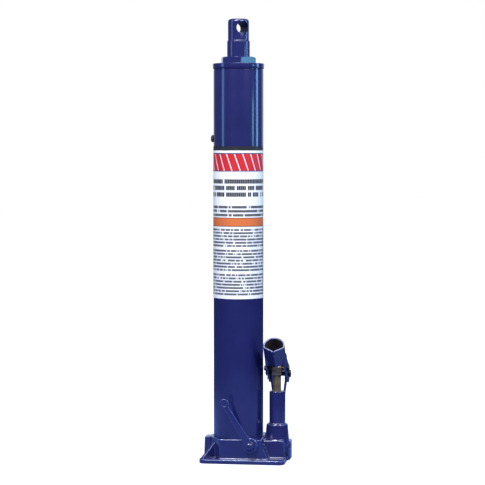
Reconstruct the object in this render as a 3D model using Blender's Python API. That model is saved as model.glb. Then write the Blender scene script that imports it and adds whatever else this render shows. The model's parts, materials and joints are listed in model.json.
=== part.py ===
"""Long-ram hydraulic jack with a flat foot: a shop-crane cylinder with its own hand pump.

Origin: centre of the tank tube, in the plane of the foot's underside. +Z is the ram's axis, -Y is the
front (release valve side), +X is the pump's side. Lengths below are millimetres; meshes are in metres.
"""

import math

import bmesh
import bpy
from mathutils import Matrix, Vector

MM = 0.001
GAP = 0.3  # between pieces that touch
RUN = 0.3  # radial clearance of pins and rods that move in their holes

# Ram, tank and pressure cylinder
HEIGHT = 620
RAM_R = 16
EYE_R, EYE_FOOT, EYE_ROUND = 14.8, 590, 4
EYE_HOLE_R, EYE_HOLE_Z, EYE_HOLE_TURN = 9, 607.4, 35
STUD_R, STUD_FOOT, RAM_SHOULDER = 7, 25.6, 44
CYLINDER_R, CYLINDER_BORE_R = 24, 20
TANK_R, TANK_BORE_R, TANK_FOOT, TANK_TOP = 35, 31.5, 32.8, 548.9
NUT_FLANGE_R, NUT_FLANGE_Z, NUT_HEX_Z, NUT_TOP = 36, 550.5, 557.7, 567
NUT_HEX_R, NUT_HEX_TURN = 26.6, -77
NUT_SKIRT_FOOT = 538
GUIDE_FOOT, GUIDE_TOP = 534, 545.4
FILLER_Z, FILLER_R, FILLER_HEAD_R, FILLER_HEAD = 453, 3.7, 5.2, 3.8
LABEL_FOOT, LABEL_TOP, LABEL_T = 230, 442.3, 0.35
LABEL_START, LABEL_END = -192, -7

# Foot casting
FOOT_LEFT, FOOT_RIGHT, FOOT_HALF, FOOT_T, FOOT_CORNER = -50, 70, 46, 6, 8
BLOCK_LEFT, BLOCK_RIGHT, BLOCK_HALF, BLOCK_TOP = -40, 38, 38, 33.5
BLOCK_CHAMFER_X, LUG_HALF, LUG_LEFT = -22, 11, -48
TANK_SEAT_Z, CYLINDER_SEAT_Z = 31.2, 24
PUMP_X = 55
PLINTH_HALF, PLINTH_TOP = 21.6, 26
BOSS_R, BOSS_FOOT_R, BOSS_TOP = 15, 17.2, 52

# Pump and handle linkage, in the plane X = PUMP_X
CHAMBER_R, CHAMBER_FOOT = 6, 12
PUMP_R, PUMP_THREAD_R, PUMP_FOOT, PUMP_TOP = 11, 9, 38, 98
PLUNGER_R, PLUNGER_FOOT, PLUNGER_EYE_R, PLUNGER_EYE_HALF = 5.5, 56, 7.75, 6.8
PIN_R = 3.5
PIN_A = (0, 130)  # plunger pin: Y, Z
PIN_B = (21.5, 120)  # pin between handle socket and link
PIN_C = (20.42, 36)  # pin between link and foot
EAR_IN, EAR_OUT = 11.6, 14.2
LINK_IN, LINK_OUT = 8.9, 11.1
LINK_LOW_IN, LINK_LOW_OUT, LINK_JOG_LOW, LINK_JOG_HIGH = 6.4, 8.6, 90, 110
SOCKET_R, SOCKET_WALL, SOCKET_KEEL, SOCKET_LENGTH, SOCKET_RISE = 15, 2.3, 12.7, 40, 47
SOCKET_MOUTH = (-40, 166.5)

# Release valve, along Y
RELEASE_X, RELEASE_Z, RELEASE_BOSS_R, RELEASE_FACE = 22, 26.5, 10.5, 44
STEM_R, STEM_TIP, STEM_SHOULDER = 3.5, 27.1, 46.2
LEVER_LENGTH, LEVER_TURN, LEVER_IN, LEVER_OUT = 68.3, 121, 46.5, 50.3
LEVER_HUB_R, LEVER_NECK, LEVER_EYE_R, LEVER_HOLE_R = 5.5, 3.1, 6.8, 3.6

# Valves in the foot
SUCTION_TANK = (22.5, 16.3)
DELIVERY_X, DELIVERY_SEAT = 8, 12
PASSAGE_R, PLUG_R, PLUG_LENGTH = 1.9, 3.4, 7

SIDES = 32
TANK_SIDES = 48
SMALL_SIDES = 20
TO_MINUS_Y = Matrix.Rotation(math.radians(90), 4, "X")
TO_PLUS_X = Matrix.Rotation(math.radians(90), 4, "Y")


# ---------------------------------------------------------------- shapes, in millimetres


def turned(profile, sides=SIDES):
    """A section of (radius, height) turned about Z: solid if it starts on the axis, otherwise a ring."""
    bm = bmesh.new()
    rings = []
    for radius, height in profile:
        if radius == 0:
            rings.append([bm.verts.new((0, 0, height))] * sides)
            continue
        angles = [2 * math.pi * step / sides for step in range(sides)]
        rings.append([bm.verts.new((radius * math.cos(a), radius * math.sin(a), height)) for a in angles])
    pairs = list(zip(rings, rings[1:]))
    if profile[0][0] != 0:
        pairs.append((rings[-1], rings[0]))
    for low, high in pairs:
        for step in range(sides):
            after = (step + 1) % sides
            corners = dict.fromkeys((low[step], low[after], high[after], high[step]))
            bm.faces.new(tuple(corners))
    bmesh.ops.recalc_face_normals(bm, faces=bm.faces[:])
    return bm


def ring(inner, outer, low, high, sides=SIDES):
    return turned([(inner, low), (outer, low), (outer, high), (inner, high)], sides)


def rod(radius, low, high, sides=SMALL_SIDES):
    return turned([(0, low), (radius, low), (radius, high), (0, high)], sides)


def ball(radius, centre, sides=12):
    steps = sides // 2
    section = [(radius * math.sin(math.pi * k / steps), -radius * math.cos(math.pi * k / steps))
               for k in range(1, steps)]
    return moved(turned([(0, -radius), *section, (0, radius)], sides), Matrix.Translation(centre))


def extruded(outline, low, high, draft=1.0):
    """An outline in X and Y carried from low to high; draft scales it at the top."""
    bm = bmesh.new()
    bottom = [bm.verts.new((x, y, low)) for x, y in outline]
    top = [bm.verts.new((x * draft, y * draft, high)) for x, y in outline]
    bm.faces.new(bottom)
    bm.faces.new(top)
    for step in range(len(outline)):
        after = (step + 1) % len(outline)
        bm.faces.new((bottom[step], bottom[after], top[after], top[step]))
    bmesh.ops.recalc_face_normals(bm, faces=bm.faces[:])
    return bm


def box(low, high):
    (x0, y0, z0), (x1, y1, z1) = low, high
    return extruded([(x0, y0), (x1, y0), (x1, y1), (x0, y1)], z0, z1)


def moved(bm, matrix):
    bmesh.ops.transform(bm, matrix=matrix, verts=bm.verts[:])
    return bm


def across_x(outline_yz, low, high):
    """An outline in Y and Z carried along X."""
    turn = Matrix(((0, 0, 1, 0), (1, 0, 0, 0), (0, 1, 0, 0), (0, 0, 0, 1)))
    return moved(extruded(outline_yz, low, high), turn)


def across_y(outline_xz, near, far):
    """An outline in X and Z carried from Y = -far to Y = -near."""
    return moved(extruded(outline_xz, near, far), TO_MINUS_Y)


def arc(centre, radius, start, end, steps):
    """Points on an arc, in degrees."""
    angles = [math.radians(start + (end - start) * k / steps) for k in range(steps + 1)]
    return [(centre[0] + radius * math.cos(a), centre[1] + radius * math.sin(a)) for a in angles]


def rounded(points, radius, steps=4):
    """The polygon with each corner replaced by an arc."""
    outline = []
    for k, point in enumerate(points):
        here = Vector(point)
        back = (Vector(points[k - 1]) - here).normalized()
        onward = (Vector(points[(k + 1) % len(points)]) - here).normalized()
        half = back.angle(onward) / 2
        start = here + back * radius / math.tan(half)
        end = here + onward * radius / math.tan(half)
        centre = here + (back + onward).normalized() * radius / math.sin(half)
        for step in range(steps + 1):
            spoke = (start - centre).lerp(end - centre, step / steps).normalized()
            outline.append(tuple(centre + spoke * radius))
    return outline


def round_bar(first, first_r, second, second_r, steps=8):
    """The outline that wraps two circles."""
    span = Vector(second) - Vector(first)
    heading = math.degrees(math.atan2(span.y, span.x))
    lean = math.degrees(math.asin((first_r - second_r) / span.length))
    side = 90 - lean
    return (arc(second, second_r, heading - side, heading + side, steps)
            + arc(first, first_r, heading + side, heading + 360 - side, steps))


def drilled(start, end, radius, sides=14):
    """A straight round hole or rod between two points."""
    start, end = Vector(start), Vector(end)
    line = end - start
    matrix = Matrix.Translation(start) @ line.to_track_quat("Z", "Y").to_matrix().to_4x4()
    return moved(rod(radius, 0, line.length, sides), matrix)


# ---------------------------------------------------------------- objects


def clear_scene():
    for obj in list(bpy.data.objects):
        bpy.data.objects.remove(obj, do_unlink=True)


def finish(name, colour, roughness, metallic):
    material = bpy.data.materials.new(name)
    material.use_nodes = True
    shader = material.node_tree.nodes["Principled BSDF"]
    shader.inputs["Base Color"].default_value = (*colour, 1)
    shader.inputs["Roughness"].default_value = roughness
    shader.inputs["Metallic"].default_value = metallic
    return material


def add(name, bm, material, origin=(0, 0, 0)):
    """An object from a shape in millimetres; a moving piece's origin lies on its joint's axis."""
    bmesh.ops.translate(bm, vec=-Vector(origin), verts=bm.verts[:])
    bmesh.ops.scale(bm, vec=(MM, MM, MM), verts=bm.verts[:])
    mesh = bpy.data.meshes.new(name)
    bm.to_mesh(mesh)
    bm.free()
    mesh.shade_smooth()
    mesh.set_sharp_from_angle(angle=math.radians(35))
    mesh.materials.append(material)
    obj = bpy.data.objects.new(name, mesh)
    obj.location = Vector(origin) * MM
    bpy.context.scene.collection.objects.link(obj)
    return obj


def combine(obj, operation, tool_name, bm):
    """A Boolean with a hidden tool object. On the casting's long chain, EXACT leaves cracks and MANIFOLD doesn't."""
    tool = add(f"tool_{obj.name}_{tool_name}", bm, obj.data.materials[0])
    tool.hide_render = True
    tool.display_type = "WIRE"
    modifier = obj.modifiers.new(tool_name, "BOOLEAN")
    modifier.operation = operation
    modifier.solver = "MANIFOLD" if obj.name == "base_casting" else "EXACT"
    modifier.object = tool


def join(obj, tool_name, bm):
    combine(obj, "UNION", tool_name, bm)


def cut(obj, tool_name, bm):
    combine(obj, "DIFFERENCE", tool_name, bm)


def wire(name, points, radius, material, origin=(0, 0, 0)):
    """A round wire through points in millimetres."""
    curve = bpy.data.curves.new(name, "CURVE")
    curve.dimensions = "3D"
    curve.bevel_depth = radius * MM
    curve.bevel_resolution = 1
    curve.use_fill_caps = True
    spline = curve.splines.new("POLY")
    spline.points.add(len(points) - 1)
    for slot, point in zip(spline.points, points):
        slot.co = (*((Vector(point) - Vector(origin)) * MM), 1)
    curve.materials.append(material)
    obj = bpy.data.objects.new(name, curve)
    obj.location = Vector(origin) * MM
    bpy.context.scene.collection.objects.link(obj)
    return obj


# ---------------------------------------------------------------- foot casting


def casting_body(paint):
    foot = [(FOOT_LEFT, -FOOT_HALF), (FOOT_RIGHT, -FOOT_HALF), (FOOT_RIGHT, FOOT_HALF), (FOOT_LEFT, FOOT_HALF)]
    body = add("base_casting", extruded(rounded(foot, FOOT_CORNER), 0, FOOT_T), paint)
    block = [(BLOCK_CHAMFER_X, -BLOCK_HALF), (BLOCK_RIGHT, -BLOCK_HALF), (BLOCK_RIGHT, BLOCK_HALF),
             (BLOCK_CHAMFER_X, BLOCK_HALF), (BLOCK_LEFT, LUG_HALF), (BLOCK_LEFT, -LUG_HALF)]
    join(body, "block", extruded(rounded(block, 3, 3), 1, BLOCK_TOP, 0.985))
    lug = [(LUG_LEFT, -LUG_HALF), (BLOCK_LEFT + 8, -LUG_HALF), (BLOCK_LEFT + 8, LUG_HALF), (LUG_LEFT, LUG_HALF)]
    join(body, "lug", extruded(rounded(lug, 2, 3), 1.2, BLOCK_TOP - 1, 0.98))
    for side in (-1, 1):
        rib = across_y([(0, 2), (26, 2), (26, 7), (2, 29), (0, 29)], -2.2, 2.2)
        spin = Matrix.Rotation(math.radians(132) * side, 4, "Z")
        join(body, f"rib{side}", moved(rib, Matrix.Translation((-29, 22 * side, 0)) @ spin))
    plinth = [(BLOCK_RIGHT - 4 - PUMP_X, -PLINTH_HALF), (FOOT_RIGHT - 0.8 - PUMP_X, -PLINTH_HALF),
              (FOOT_RIGHT - 0.8 - PUMP_X, PLINTH_HALF), (BLOCK_RIGHT - 4 - PUMP_X, PLINTH_HALF)]
    drafted = extruded(rounded(plinth, 2.5, 3), 1.4, PLINTH_TOP + 4, 0.82)
    join(body, "plinth", moved(drafted, Matrix.Translation((PUMP_X, 0, 0))))
    for side, near, far in (("front", 17, 36), ("back", -36, -17)):
        web = [(BLOCK_RIGHT - 4, 2), (BLOCK_RIGHT + 8, 2), (BLOCK_RIGHT + 8, 6.5), (BLOCK_RIGHT - 2, 30),
               (BLOCK_RIGHT - 4, 30)]
        join(body, f"{side}_web", across_y(web, near, far))
    cheek = [(FOOT_RIGHT - 8, -4), (FOOT_RIGHT + 3.6, -4), (FOOT_RIGHT + 3.6, 24), (FOOT_RIGHT - 8, 24)]
    join(body, "cheek", extruded(rounded(cheek, 3, 3), 0.4, PLINTH_TOP + 0.6))
    return body


def casting_bosses(body):
    boss = turned([(0, 20), (BOSS_FOOT_R + 0.4, 20), (BOSS_FOOT_R, 27), (BOSS_R, BOSS_TOP - 1),
                   (BOSS_R - 1, BOSS_TOP), (0, BOSS_TOP)], 32)
    join(body, "pump_boss", moved(boss, Matrix.Translation((PUMP_X, 0, 0))))
    flare = [(BLOCK_RIGHT - 6, 22), (PUMP_X, 22), (PUMP_X, BOSS_TOP - 3), (PUMP_X - 13, BOSS_TOP - 7),
             (PUMP_X - 15.5, BOSS_TOP - 13), (BLOCK_RIGHT - 1, BLOCK_TOP + 0.6), (BLOCK_RIGHT - 6, BLOCK_TOP - 2)]
    join(body, "flare", across_y(flare, -9, 9))
    lug = [*arc(PIN_C, 8.5, 0, 180, 8), (PIN_C[0] - 8.5, 20), (PIN_C[0] + 8.5, 20)]
    join(body, "link_lug", across_x(lug, PUMP_X - 6.1, PUMP_X + 6.1))
    release = rod(RELEASE_BOSS_R, 20, RELEASE_FACE, 32)
    join(body, "release_boss", moved(release, Matrix.Translation((RELEASE_X, 0, RELEASE_Z)) @ TO_MINUS_Y))


def casting_cuts(body):
    cut(body, "tank_seat", rod(TANK_R + GAP, TANK_SEAT_Z, 80, SIDES))
    cut(body, "cylinder_seat", rod(CYLINDER_R + GAP, CYLINDER_SEAT_Z, 40, SIDES))
    pump = Matrix.Translation((PUMP_X, 0, 0))
    cut(body, "pump_thread", moved(rod(PUMP_THREAD_R + GAP, PUMP_FOOT - GAP, 60), pump))
    cut(body, "chamber", moved(rod(CHAMBER_R, CHAMBER_FOOT, PUMP_FOOT + 1), pump))
    for side in (-1, 1):
        inner, outer = sorted((PUMP_X + side * (LINK_LOW_IN - 0.4), PUMP_X + side * (LINK_LOW_OUT + 4)))
        cut(body, f"milled{side}", box((inner, 11.5, PLINTH_TOP - 0.8), (outer, 40, 60)))
    cut(body, "link_pin", drilled((PUMP_X - 20, *PIN_C), (PUMP_X + 20, *PIN_C), PIN_R + GAP))
    release = Matrix.Translation((RELEASE_X, 0, RELEASE_Z)) @ TO_MINUS_Y
    cut(body, "stem_bore", moved(rod(STEM_R + RUN, 22, RELEASE_FACE + 4), release))
    cut(body, "gland", moved(rod(5.6, 39, RELEASE_FACE + 4), release))


def casting_passages(body):
    """Drilled ways: tank to pump, pump to cylinder, and cylinder back to the tank past the release valve."""
    start = Vector((*SUCTION_TANK, 7.5))
    end = Vector((PUMP_X, 0, 7.5))
    wall = end + (end - start) * (FOOT_RIGHT + 2 - PUMP_X) / (PUMP_X - start.x)
    cut(body, "suction_way", drilled(start, wall, PASSAGE_R))
    cut(body, "suction_plug_bore", drilled(wall - (wall - end).normalized() * (PLUG_LENGTH + 4), wall, PLUG_R + GAP))
    cut(body, "suction_drop", drilled((*SUCTION_TANK, 7), (*SUCTION_TANK, 40), PASSAGE_R))
    cut(body, "suction_seat", drilled((PUMP_X, 0, 7), (PUMP_X, 0, CHAMBER_FOOT + 1), PASSAGE_R))
    outlet = Vector((PUMP_X, 0, 17.5))
    under = Vector((DELIVERY_X, 0, 8.5))
    side = outlet + (outlet - under) * (FOOT_RIGHT + 6 - PUMP_X) / (PUMP_X - DELIVERY_X)
    cut(body, "delivery_way", drilled(under, side, PASSAGE_R))
    inner = side - (side - outlet).normalized() * (PLUG_LENGTH + 3)
    cut(body, "delivery_plug_bore", drilled(inner, side, PLUG_R + GAP))
    cut(body, "delivery_seat", drilled((DELIVERY_X, 0, 8), (DELIVERY_X, 0, DELIVERY_SEAT + 1), PASSAGE_R))
    cut(body, "delivery_pocket", drilled((DELIVERY_X, 0, DELIVERY_SEAT), (DELIVERY_X, 0, 30), 4.3))
    cut(body, "release_seat", drilled((RELEASE_X, -23, RELEASE_Z), (RELEASE_X, -16.5, RELEASE_Z), 1.7))
    cut(body, "release_drop", drilled((RELEASE_X, -17.6, RELEASE_Z), (RELEASE_X, -17.6, 18), 1.6))
    cut(body, "release_way", drilled((RELEASE_X, -17.6, 18.6), (13, -8, 18.6), 1.5))
    cut(body, "release_rise", drilled((13, -8, 17.6), (13, -8, 30), 1.6))
    cut(body, "release_return", drilled((20.2, -24.6, RELEASE_Z), (20.2, -24.6, 40), 1.6))


def passage_plugs(steel):
    """The two screws that close the drilled ways on the pump's side."""
    start = Vector((*SUCTION_TANK, 7.5))
    end = Vector((PUMP_X, 0, 7.5))
    along = (end - start).normalized()
    face = end + along * (FOOT_RIGHT - 1.5 - PUMP_X) / along.x
    add("suction_passage_plug", drilled(face - along * PLUG_LENGTH, face, PLUG_R), steel)
    along = (Vector((PUMP_X, 0, 17.5)) - Vector((DELIVERY_X, 0, 8.5))).normalized()
    face = Vector((PUMP_X, 0, 17.5)) + along * (FOOT_RIGHT + 3 - PUMP_X) / along.x
    add("delivery_passage_plug", drilled(face - along * (PLUG_LENGTH - 1), face, PLUG_R), steel)


# ---------------------------------------------------------------- tank, cylinder and ram


def tank(paint, rubber, copper):
    tube = add("reservoir_tube", ring(TANK_BORE_R, TANK_R, TANK_FOOT, TANK_TOP, TANK_SIDES), paint)
    cut(tube, "filler_hole", drilled((-TANK_R - 5, 0, FILLER_Z), (-TANK_BORE_R + 5, 0, FILLER_Z), FILLER_R + 0.4))
    add("tank_bottom_gasket", ring(TANK_BORE_R + 0.1, TANK_R, TANK_SEAT_Z + GAP, TANK_FOOT - GAP), rubber)
    add("tank_top_gasket", ring(TANK_BORE_R + 0.1, TANK_R, TANK_TOP + GAP, NUT_FLANGE_Z - GAP), rubber)
    add("cylinder_gasket", ring(20.4, 23.9, CYLINDER_SEAT_Z + GAP, 25.3), copper)


def pressure_cylinder(steel, bronze):
    add("pressure_cylinder", ring(CYLINDER_BORE_R, CYLINDER_R, 25.6, 545.7), steel)
    add("ram_guide_bush", ring(RAM_R + 0.2, CYLINDER_BORE_R - 0.2, GUIDE_FOOT, GUIDE_TOP), bronze)


def top_nut(paint, rubber):
    section = [(RAM_R + 0.4, 553), (19, 553), (19, 546.3), (CYLINDER_R + GAP, 546.3),
               (CYLINDER_R + GAP, NUT_SKIRT_FOOT),
               (TANK_BORE_R - 0.3, NUT_SKIRT_FOOT), (TANK_BORE_R - 0.3, NUT_FLANGE_Z),
               (NUT_FLANGE_R - 0.6, NUT_FLANGE_Z),
               (NUT_FLANGE_R, NUT_FLANGE_Z + 0.6), (NUT_FLANGE_R, NUT_HEX_Z - 0.8), (NUT_FLANGE_R - 0.8, NUT_HEX_Z),
               (RAM_R + 0.4, NUT_HEX_Z)]
    nut = add("top_nut", turned(section), paint)
    corners = arc((0, 0), NUT_HEX_R, NUT_HEX_TURN, NUT_HEX_TURN + 300, 5)
    join(nut, "hex", extruded(corners, NUT_HEX_Z - 1, NUT_TOP - 1.6))
    join(nut, "hex_top", extruded(corners, NUT_TOP - 2, NUT_TOP, 0.955))
    cut(nut, "bore", rod(RAM_R + 0.4, NUT_HEX_Z - 2, NUT_TOP + 5, SIDES))
    add("ram_wiper", ring(RAM_R + 0.15, 18.7, 546.6, 552.7), rubber)


def ram(paint, steel, rubber):
    rim = arc((EYE_R - EYE_ROUND, HEIGHT - EYE_ROUND), EYE_ROUND, 0, 90, 4)
    section = [(0, STUD_FOOT), (STUD_R, STUD_FOOT), (STUD_R, RAM_SHOULDER), (RAM_R, RAM_SHOULDER),
               (RAM_R, EYE_FOOT - 1), (EYE_R, EYE_FOOT), *rim, (0, HEIGHT)]
    rod_object = add("ram", turned(section), paint)
    turn = math.radians(EYE_HOLE_TURN)
    way = Vector((math.sin(turn), -math.cos(turn), 0)) * 30
    centre = Vector((0, 0, EYE_HOLE_Z))
    cut(rod_object, "eye_hole", drilled(centre - way, centre + way, EYE_HOLE_R, 28))
    add("piston_head", ring(STUD_R + GAP, CYLINDER_BORE_R - 0.4, 38.9, RAM_SHOULDER - GAP), steel)
    add("piston_nut", ring(STUD_R + GAP, 12, STUD_FOOT, 31.5), steel)
    add("piston_backup_ring", ring(STUD_R + 0.4, CYLINDER_BORE_R - 0.5, 37.1, 38.6), rubber)
    cup = [(STUD_R + 0.4, 36.8), (CYLINDER_BORE_R - 0.3, 36.8), (CYLINDER_BORE_R - 0.3, 31.9), (17.6, 31.9),
           (16.6, 34.6),
           (15.4, 34.6), (14.4, 31.9), (STUD_R + 0.4, 31.9)]
    add("piston_seal", turned(cup), rubber)


def filler_plug(rubber):
    lip = arc((FILLER_HEAD_R - 1.6, TANK_R + FILLER_HEAD - 1.6), 1.6, 0, 80, 3)
    section = [(0, TANK_BORE_R + 0.4), (FILLER_R - 0.8, TANK_BORE_R + 0.4), (FILLER_R, TANK_BORE_R + 1.2),
               (FILLER_R, TANK_R + GAP), (FILLER_HEAD_R, TANK_R + 0.5), *lip, (0, TANK_R + FILLER_HEAD)]
    to_minus_x = Matrix.Translation((0, 0, FILLER_Z)) @ Matrix.Rotation(math.radians(-90), 4, "Y")
    add("filler_plug", moved(turned(section, SMALL_SIDES), to_minus_x), rubber, (-TANK_R, 0, FILLER_Z))


def label(paper):
    inner = arc((0, 0), TANK_R + GAP, LABEL_START, LABEL_END, 32)
    outer = arc((0, 0), TANK_R + GAP + LABEL_T, LABEL_END, LABEL_START, 32)
    add("label", extruded(inner + outer, LABEL_FOOT, LABEL_TOP), paper)


# ---------------------------------------------------------------- pump and handle linkage


def at_pump(bm):
    return moved(bm, Matrix.Translation((PUMP_X, 0, 0)))


def pump(paint, steel, copper, rubber):
    section = [(PLUNGER_R + RUN, PUMP_FOOT), (PUMP_THREAD_R, PUMP_FOOT), (PUMP_THREAD_R, 53.5), (PUMP_R, 53.5),
               (PUMP_R, PUMP_TOP - 2), (PUMP_R - 0.6, PUMP_TOP - 0.6), (PUMP_R - 2, PUMP_TOP),
               (PLUNGER_R + RUN, PUMP_TOP)]
    add("pump_cylinder", at_pump(turned(section, 32)), paint)
    add("pump_cylinder_gasket", at_pump(ring(PUMP_THREAD_R + GAP, 11.6, BOSS_TOP + GAP, 53.2, 32)), copper)
    pivot = (PUMP_X, 0, PIN_A[1])
    stem = [(0, PLUNGER_FOOT), (3, PLUNGER_FOOT), (3, 61), (PLUNGER_R, 61), (PLUNGER_R, 123), (0, 123)]
    plunger = add("plunger", at_pump(turned(stem)), steel, pivot)
    eye = [*arc(PIN_A, PLUNGER_EYE_R, 0, 180, 10), (-PLUNGER_EYE_R, 121.5), (-5.4, 119.5), (5.4, 119.5),
           (PLUNGER_EYE_R, 121.5)]
    join(plunger, "eye", across_x(eye, PUMP_X - PLUNGER_EYE_HALF, PUMP_X + PLUNGER_EYE_HALF))
    slot = [*arc((1.2, PIN_A[1]), PIN_R + 0.6, -90, 90, 8), *arc((-1.2, PIN_A[1]), PIN_R + 0.6, 90, 270, 8)]
    cut(plunger, "slot", across_x(slot, PUMP_X - 12, PUMP_X + 12))
    add("plunger_seal", at_pump(ring(3.3, PLUNGER_R + 0.05, 56.4, 60.6, 32)), rubber, pivot)


def socket_section(radius, keel, steps=20):
    """A round top over two flats that meet in a keel, like a rolled strip whose edges meet below."""
    slope = math.radians(31.3)
    lean = keel * math.sin(slope)
    across = lean + math.sqrt(radius * radius - (keel * math.cos(slope)) ** 2)
    corner = math.degrees(math.atan2(across * math.sin(slope) - keel, across * math.cos(slope)))
    return [*arc((0, 0), radius, corner, 180 - corner, steps), (-0.9, -keel + 0.55), (0.9, -keel + 0.55)]


def handle_socket(paint):
    """One stamping: a rolled tube for the handle, running down into two ears that the plunger and links pin to."""
    pivot = (PUMP_X, *PIN_B)
    frame = Matrix.Translation((PUMP_X, *SOCKET_MOUTH)) @ Matrix.Rotation(math.radians(90 - SOCKET_RISE), 4, "X")
    tube = moved(extruded(socket_section(SOCKET_R, SOCKET_KEEL), -SOCKET_LENGTH, 0), frame)
    socket = add("handle_socket", tube, paint, pivot)
    rise = math.radians(SOCKET_RISE)
    mouth = Vector(SOCKET_MOUTH)
    down = Vector((math.cos(rise), -math.sin(rise)))
    back = Vector((math.sin(rise), math.cos(rise)))

    def spot(along, above):
        return tuple(mouth + down * along + back * above)

    ear = [spot(17, 2), spot(26, 9), spot(SOCKET_LENGTH - 4, 14.4), spot(SOCKET_LENGTH + 3, 13.4),
           *arc(PIN_B, 12.5, 60, -95, 10),
           *arc(PIN_A, 10, -90, -170, 4), spot(SOCKET_LENGTH - 2, -9), spot(26, -6), spot(17, -2)]
    join(socket, "ears", across_x(ear, PUMP_X - EAR_OUT, PUMP_X + EAR_OUT))
    hollow = [spot(SOCKET_LENGTH - 3, 11), spot(SOCKET_LENGTH + 4, 10.4), (PIN_B[0], PIN_B[1] + 10.4),
              (PIN_B[0] + 30, PIN_B[1] + 8), (PIN_B[0] + 30, 85), (-40, 85), spot(SOCKET_LENGTH - 10, -30)]
    cut(socket, "between_ears", across_x(hollow, PUMP_X - EAR_IN, PUMP_X + EAR_IN))
    inside = socket_section(SOCKET_R - SOCKET_WALL, SOCKET_KEEL - SOCKET_WALL / math.cos(math.radians(31.3)))
    cut(socket, "bore", moved(extruded(inside, -SOCKET_LENGTH - 0.4, 2), frame))
    cut(socket, "seam", moved(box((-0.6, -20, -10), (0.6, -5, 2)), frame))
    for name, pin in (("a_hole", PIN_A), ("b_hole", PIN_B)):
        cut(socket, name, drilled((PUMP_X - 20, *pin), (PUMP_X + 20, *pin), PIN_R + RUN))


def link_bars(paint):
    """Two flat bars between the ears, drawn in towards each other on their way down to the foot's lug."""
    for name, side in (("link_bar_left", -1), ("link_bar_right", 1)):
        strip = [(LINK_IN, 140), (LINK_OUT, 140), (LINK_OUT, LINK_JOG_HIGH), (LINK_LOW_OUT, LINK_JOG_LOW),
                 (LINK_LOW_OUT, 20),
                 (LINK_LOW_IN, 20), (LINK_LOW_IN, LINK_JOG_LOW + 0.5), (LINK_IN, LINK_JOG_HIGH + 0.5)]
        outline = [(PUMP_X + side * x, z) for x, z in strip]
        bar = add(name, across_y(outline, -36, -6), paint, (PUMP_X, *PIN_C))
        shape = across_x(round_bar(PIN_B, 7.5, PIN_C, 6.5), PUMP_X - 30, PUMP_X + 30)
        combine(bar, "INTERSECT", "outline", shape)
        for hole, pin in (("upper", PIN_B), ("lower", PIN_C)):
            cut(bar, f"{hole}_hole", drilled((PUMP_X - 20, *pin), (PUMP_X + 20, *pin), PIN_R + RUN))


def pin_and_cotter(name, centre, head_in, steel, dark, origin):
    """A headed pin along X with a split pin through its other end."""
    tail = -(head_in + 3.9)
    section = [(0, tail), (PIN_R - 0.7, tail), (PIN_R, tail + 0.7), (PIN_R, head_in), (PIN_R + 1.6, head_in),
               (PIN_R + 1.6, head_in + 2), (PIN_R + 1, head_in + 2.6), (0, head_in + 2.6)]
    place = Matrix.Translation((PUMP_X, *centre))
    pin = add(f"{name}_pin", moved(turned(section, SMALL_SIDES), place @ TO_PLUS_X), steel, origin)
    x = PUMP_X + tail + 2.6
    y, z = centre
    cut(pin, "cotter_hole", drilled((x, y, z - 8), (x, y, z + 8), 1.25, 12))
    loop = arc((y - 0.6, z + 6.6), 2.2, -60, 220, 10)
    legs = [(y - 3, z - 7.4), (y - 1.6, z - 6.6), (y - 0.4, z - 5.4), (y, z - 4.4), (y, z), (y, z + 3.6)]
    wire(f"{name}_cotter", [(x, py, pz) for py, pz in legs + loop], 0.8, dark, origin)


# ---------------------------------------------------------------- valves


def foot_valves(steel, bronze):
    add("suction_ball", ball(2.75, (PUMP_X, 0, CHAMBER_FOOT + 2.4)), steel)
    add("delivery_ball", ball(3, (DELIVERY_X, 0, DELIVERY_SEAT + 2.7)), steel)
    add("release_ball", ball(2.5, (RELEASE_X, -24.2, RELEASE_Z)), steel)
    turns, steps, low, high = 3.5, 10, DELIVERY_SEAT + 6.4, 21.2
    count = int(turns * steps)
    coil = [(DELIVERY_X + 2.4 * math.cos(2 * math.pi * k / steps), 2.4 * math.sin(2 * math.pi * k / steps),
             low + (high - low) * k / count) for k in range(count + 1)]
    wire("delivery_spring", coil, 0.35, steel)
    screw = ring(1.5, 3.9, 21.9, CYLINDER_SEAT_Z - 0.1, SMALL_SIDES)
    add("delivery_screw", moved(screw, Matrix.Translation((DELIVERY_X, 0, 0))), bronze)


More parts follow.
